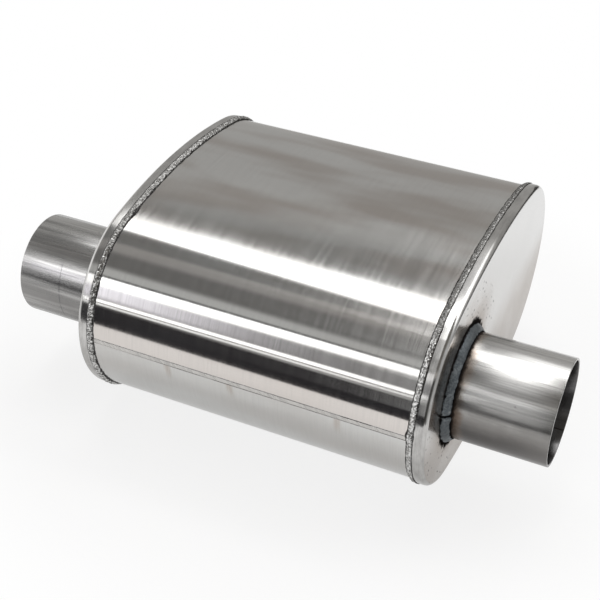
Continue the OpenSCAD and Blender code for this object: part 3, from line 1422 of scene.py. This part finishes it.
@dataclass
class Pipe:
    """A pipe stub with the weld that holds it in its cap.

    The weld starts with a lump and stops at a notch, whose places and reach are degrees round the
    pipe from its joint. The lump, the notch and uneven are shares of the weld's size.
    """

    end: End
    around: int = 256
    rim: float = 0.3 * MM
    rim_steps: int = 4
    bead_steps: int = 12
    bead_around: int = 1000
    bead_long: float = 4.8 * MM
    bead_high: float = 4.0 * MM
    bead_crown: float = 0.3 * MM
    ripple: float = 0.07 * MM
    ripple_pitch: float = 1.25 * MM
    ripple_bend: float = 1.8
    bumps: float = 0.06 * MM
    bump_size: float = 1.1 * MM
    uneven: Span = (0.06, 0.04)
    lump: float = 0.10
    lump_place: float = 5.0
    lump_reach: float = 4.0
    notch: float = 0.16
    notch_reach: float = 1.3
    clear: float = 0.03 * MM

    def build(self) -> None:
        """Builds and dresses the pipe and its bead."""
        label = self.end.label
        dress(self.tube(), f"{label}_pipe", self.finish().material())
        dress(self.bead(), f"{label}_pipe_weld", OxidisedBead(joint=self.joint).material())

    @property
    def joint(self) -> float:
        """Angle round the pipe at which its weld stops and starts again."""
        return math.radians(176.5 if self.end is End.OUTLET else 25.0)

    def finish(self) -> Finish:
        """Finish of the tube: the inlet's is duller, with a line scribed round it.

        Returns:
            The finish.
        """
        if self.end is End.OUTLET:
            return DrawnPipe()
        return DrawnPipe(
            name="dull_pipe",
            steel=(0.54, 0.535, 0.525),
            dull=(0.25, 0.247, 0.243),
            wear=0.85,
            # Less grime and painted shade underneath than on the outlet.
            under=0.3,
            roughness=0.24,
            scribe=-143 * MM,
        )

    def _ring(self, radius: float, along: float) -> list[Point]:
        """Ring of the tube."""
        return [AXIS.at(2 * math.pi * i / self.around, radius, along) for i in range(self.around)]

    def tube(self) -> bpy.types.Object:
        """Tube with its rims slightly rounded.

        Returns:
            The new piece.
        """
        low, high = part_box(f"{self.end.label}_pipe")
        outer, inner = AXIS.outside - self.rim, AXIS.bore + self.rim
        turns = [QUARTER * step / self.rim_steps for step in range(self.rim_steps + 1)]
        edge = [(outer + self.rim * math.cos(t), self.rim - self.rim * math.sin(t)) for t in turns]
        edge += [(inner - self.rim * math.cos(t), self.rim - self.rim * math.sin(t)) for t in reversed(turns)]
        rings = [self._ring(radius, low[0] + depth) for radius, depth in reversed(edge)]
        rings += [self._ring(radius, high[0] - depth) for radius, depth in edge]
        return loft(f"{self.end.label}_tube", rings, sharp=60)

    def bead(self) -> bpy.types.Object:
        """Fillet round the pipe, smooth but for faint ripples and one restart.

        Returns:
            The new piece.
        """
        columns = [self._section(2 * math.pi * i / self.bead_around) for i in range(self.bead_around)]
        return loft(f"{self.end.label}_pipe_bead", [list(ring) for ring in zip(*columns)], sharp=70)

    def _section(self, angle: float) -> list[Point]:
        """Section of the fillet.

        Args:
            angle: its angle round the pipe.

        Returns:
            The section's points, over the fillet's face and back to the corner.
        """
        seed = 41 if self.end is End.INLET else 53
        ring = Vector((math.cos(angle), math.sin(angle))) * AXIS.outside
        turned = math.degrees(math.remainder(angle - self.joint, 2 * math.pi))
        lump = self.lump * math.exp(-(((turned - self.lump_place) / self.lump_reach) ** 2))
        lump -= self.notch * math.exp(-((turned / self.notch_reach) ** 2))
        slow, quick = self.uneven
        high = 1 + lump + slow * closed_noise(ring, 1.1 + seed, 6 * MM)
        high += quick * closed_noise(ring, 2.3 + seed, 1.5 * MM)
        out = 1 + lump + slow * closed_noise(ring, 3.9 + seed, 6 * MM)
        out += quick * closed_noise(ring, 5.3 + seed, 1.5 * MM)
        shift = angle * AXIS.outside / self.ripple_pitch + 0.7 * closed_noise(ring, 7.1 + seed, 3 * MM)
        points = []
        for step in range(self.bead_steps + 1):
            share = step / self.bead_steps
            wave = self.ripple * (abs(math.sin(math.pi * (shift + self.ripple_bend * share))) - 0.6)
            wave += self.bumps * closed_noise(ring, share * 2 + seed, self.bump_size)
            crown = (self.bead_crown + wave) * math.sin(math.pi * share)
            radius = AXIS.outside + self.bead_high * high * (1 - share) + crown
            points.append(AXIS.at(angle, radius, self.end.along(-(self.bead_long * out * share + crown))))
        points.append(AXIS.at(angle, AXIS.outside + self.clear, self.end.along(0.0)))
        return points


class Inside:
    """The core, its welds and the packing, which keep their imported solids."""

    def build(self) -> None:
        """Dresses each of them."""
        paint("perforated_core", PunchedSheet().material())
        grey = PunchedSheet(name="core_weld_steel", steel=(0.30, 0.31, 0.33), dull=(0.16, 0.16, 0.17))
        weld = grey.material()
        for end in End:
            paint(f"{end.label}_core_weld", weld)
        light, shade = (0.42, 0.42, 0.41), (0.06, 0.06, 0.06)
        wool = Fibre(name="steel_wool", light=light, shade=shade, metallic=0.8, thread=0.35 * MM)
        paint("steel_wool_sleeve", wool.material())
        paint("glass_packing", Fibre(name="glass_fibre").material())


@dataclass(frozen=True)
class Band:
    """A stretch of the studio that is lit or dark, by its angle over the case.

    Angles turn about the pipe axis from the front, in degrees above the horizon. Each edge is given
    at the left and at the right end of what the case mirrors, and runs straight between them. Soft
    is how many degrees the lower and the upper edge take, and ends is where along the case a band
    that doesn't go all the way starts and where it is full.
    """

    low: Span
    high: Span
    level: float
    soft: Span = (1.0, 1.0)
    ends: Span | None = None
    tint: Colour = WHITE


@dataclass
class Studio:
    """Floor, surrounding light and camera."""

    floor_level: float = 0.93
    white_seen: float = 0.80
    white_mirrored: float = 0.42
    shadow_reach: Span = (0.29, 0.20)
    floor_x: Span = (-2.0, 0.30)
    floor_y: Span = (-0.405, 0.45)
    left: float = -0.45
    right: float = -0.22
    furthest: Span = (-0.6, 1.6)
    plain: Colour = (0.475, 0.468, 0.455)
    left_light: Colour = (1.3, 1.3, 1.3)
    right_light: Colour = (0.7, 0.7, 0.7)
    side_reach: Span = (0.66, 0.92)
    bands: tuple[Band, ...] = (
        Band((-110, -110), (8, 8), 0.03, (10.0, 3.0), tint=(1.0, 0.95, 1.05)),
        Band((15, 18), (34, 34), 0.27),
        Band((17, 17), (33, 33), 1.9, (9.0, 1.0), (0.34, -0.04), (0.95, 0.93, 1.0)),
        Band((12.0, 14.0), (15.4, 18.2), 2.6, (0.5, 0.6)),
        Band((10.9, 12.9), (12.2, 14.2), 0.06, (0.3, 0.3)),
        Band((9.0, 10.8), (10.9, 12.9), 1.7, (0.5, 0.4)),
        Band((6.8, 7.8), (8.4, 9.8), 0.55, (0.6, 0.5), (0.3, 0.6)),
        Band((31, 34.5), (41.7, 41.7), 2.4, (2.5, 0.5)),
        Band((41.7, 41.7), (44.4, 44.2), 0.16, (0.4, 1.0)),
        Band((44.4, 44.2), (54, 52), 0.58, (1.0, 5.0), tint=(1.0, 1.0, 0.98)),
        Band((54, 52), (78, 78), 0.17, (8.0, 8.0), tint=(1.0, 0.97, 0.94)),
        Band((74, 74), (86, 86), 0.37, (9.0, 1.5), tint=(1.0, 0.96, 0.93)),
        Band((86, 86), (106, 98), 0.20, (0.6, 2.0), tint=(1.0, 0.99, 0.97)),
        Band((105, 96.5), (121.5, 121.5), 3.2, (3.5, 0.6), (-0.26, -0.10)),
        Band((121.5, 121.5), (129, 134), 0.27, (0.6, 8.0), tint=(1.0, 0.99, 0.97)),
        Band((-4, -4), (30, 30), 0.50, ends=(1.06, 1.2)),
        Band((14, 14), (18, 18), 1.0, ends=(1.2, 1.3)),
        Band((30, 30), (42, 42), 1.3, (1.0, 2.0), (1.06, 1.2)),
        Band((42, 42), (57, 57), 0.75, (2.0, 1.0), (1.06, 1.2)),
        Band((57, 57), (79, 79), 1.35, ends=(1.1, 1.3)),
        Band((79, 79), (123, 123), 4.0, (1.0, 1.5), (1.15, 1.35)),
        Band((122, 122), (140, 140), 2.6, (1.0, 10.0), (1.28, 1.5)),
        Band((-200, -200), (38, 38), 0.06, (1.0, 3.0), (1.9, 2.5), (1.0, 0.96, 0.90)),
        Band((38, 38), (45, 45), 0.55, (3.0, 3.0), (1.75, 2.2), (1.0, 0.96, 0.90)),
        Band((45, 45), (112, 112), 0.20, (3.0, 8.0), (1.75, 2.2), (1.0, 0.94, 0.86)),
    )
    azimuth: float = 24.1227
    elevation: float = 36.2502
    roll: float = 0.9937
    station: Point = (0.24201, -0.57824, 0.51272)
    lens: float = 72.225
    sensor: float = 36.0
    clip: Span = (0.01, 50.0)

    def build(self) -> None:
        """Builds all three."""
        self.floor()
        self.surroundings()
        self.camera()

    def floor(self) -> None:
        """Plain pale floor that the case stands on, nearly white as the backdrop but for the shadow."""
        (left, right), (front, back) = self.floor_x, self.floor_y
        mesh = bpy.data.meshes.new("floor")
        corners = [(left, front, 0), (right, front, 0), (right, back, 0), (left, back, 0)]
        mesh.from_pydata(corners, [], [(0, 1, 2, 3)])
        made = bpy.data.objects.new("floor", mesh)
        bpy.context.scene.collection.objects.link(made)
        material = bpy.data.materials.new("pale_floor")
        material.use_nodes = True
        graph = Graph(material.node_tree)
        pale = graph.node("ShaderNodeBsdfDiffuse", None, {"Color": (self.floor_level,) * 3})
        white = graph.node("ShaderNodeEmission", None, {"Color": WHITE, "Strength": 1.0})
        mixed = graph.blend(self._white_share(graph), pale.outputs[0], white.outputs[0])
        graph.node("ShaderNodeOutputMaterial", None, {"Surface": mixed})
        material.cycles.emission_sampling = "NONE"
        mesh.materials.append(material)

    def _white_share(self, graph: Graph) -> Wire:
        """Share of the backdrop's white in the floor, all of it beyond the shadow's reach.

        Args:
            graph: the floor's nodes.

        Returns:
            The share, for what the camera sees and for what the metal mirrors.
        """
        path = graph.node("ShaderNodeLightPath").outputs
        seen = Wire(graph, path["Is Camera Ray"])
        mirrored = Wire(graph, path["Is Glossy Ray"]).highest(Wire(graph, path["Is Transmission Ray"]))
        at = graph.place(axial=False)
        near = ((at.along * at.along + at.across * at.across) ** 0.5).ease(*self.shadow_reach)
        seen = seen * (1 - near * (1 - self.white_seen))
        return seen.highest(mirrored * (1 - near * (1 - self.white_mirrored)))

    def surroundings(self) -> None:
        """Soft light from long bands over the case, and white behind it for the camera."""
        world = bpy.data.worlds.new("studio")
        bpy.context.scene.world = world
        world.use_nodes = True
        graph = Graph(world.node_tree)
        x, y, z = graph.split(graph.node("ShaderNodeTexCoord").outputs["Generated"])
        angle = z.angle_to(-1 * y) * (180 / math.pi)
        place = (x - self.left) / (self.right - self.left)
        coats = []
        for band in self.bands:
            lit = tuple(band.level * part for part in band.tint)
            coats.append((self._inside(band, angle, place), lit))
        coats.append(((x * -1).ease(*self.side_reach), self.left_light))
        coats.append((x.ease(*self.side_reach), self.right_light))
        colour = graph.layers(self.plain, *coats)
        lit = graph.node("ShaderNodeBackground", None, {"Color": colour, "Strength": 1.0})
        white = graph.node("ShaderNodeBackground", None, {"Color": WHITE, "Strength": 1.0})
        seen = Wire(graph, graph.node("ShaderNodeLightPath").outputs["Is Camera Ray"])
        mixed = graph.blend(seen, lit.outputs[0], white.outputs[0])
        graph.node("ShaderNodeOutputWorld", None, {"Surface": mixed})

    def _inside(self, band: Band, angle: Wire, place: Wire) -> Wire:
        """Share of a band at a direction.

        Args:
            band: the band.
            angle: the direction's angle over the case, in degrees.
            place: 0 at the left end of what the case mirrors and 1 at its right end.

        Returns:
            1 inside the band, 0 outside it.
        """
        along = place.highest(self.furthest[0]).lowest(self.furthest[1])
        low = along * (band.low[1] - band.low[0]) + band.low[0]
        high = along * (band.high[1] - band.high[0]) + band.high[0]
        inside = (angle - low).ease(-band.soft[0] / 2, band.soft[0] / 2)
        inside = inside * (angle - high).ease(band.soft[1] / 2, -band.soft[1] / 2)
        if band.ends:
            inside = inside * place.ease(*band.ends)
        return inside

    def camera(self) -> None:
        """Camera at the photograph's viewing angle."""
        turn, rise, roll = (math.radians(a) for a in (self.azimuth, self.elevation, self.roll))
        aim = Matrix.Rotation(turn, 4, "Z") @ Matrix.Rotation(QUARTER - rise, 4, "X")
        data = bpy.data.cameras.new("camera")
        data.lens, data.sensor_width = self.lens, self.sensor
        data.clip_start, data.clip_end = self.clip
        made = bpy.data.objects.new("camera", data)
        made.matrix_world = Matrix.Translation(self.station) @ aim @ Matrix.Rotation(roll, 4, "Z")
        bpy.context.scene.collection.objects.link(made)
        bpy.context.scene.camera = made
        bpy.context.scene.view_settings.view_transform = "Standard"


def main() -> None:
    """Builds the muffler and its studio."""
    logging.basicConfig(level=logging.INFO, format="%(name)s: %(message)s")
    Shell().build()
    for end in End:
        EndCap(end).build()
        Pipe(end).build()
    Inside().build()
    Studio().build()


if __name__ == "__main__":
    main()
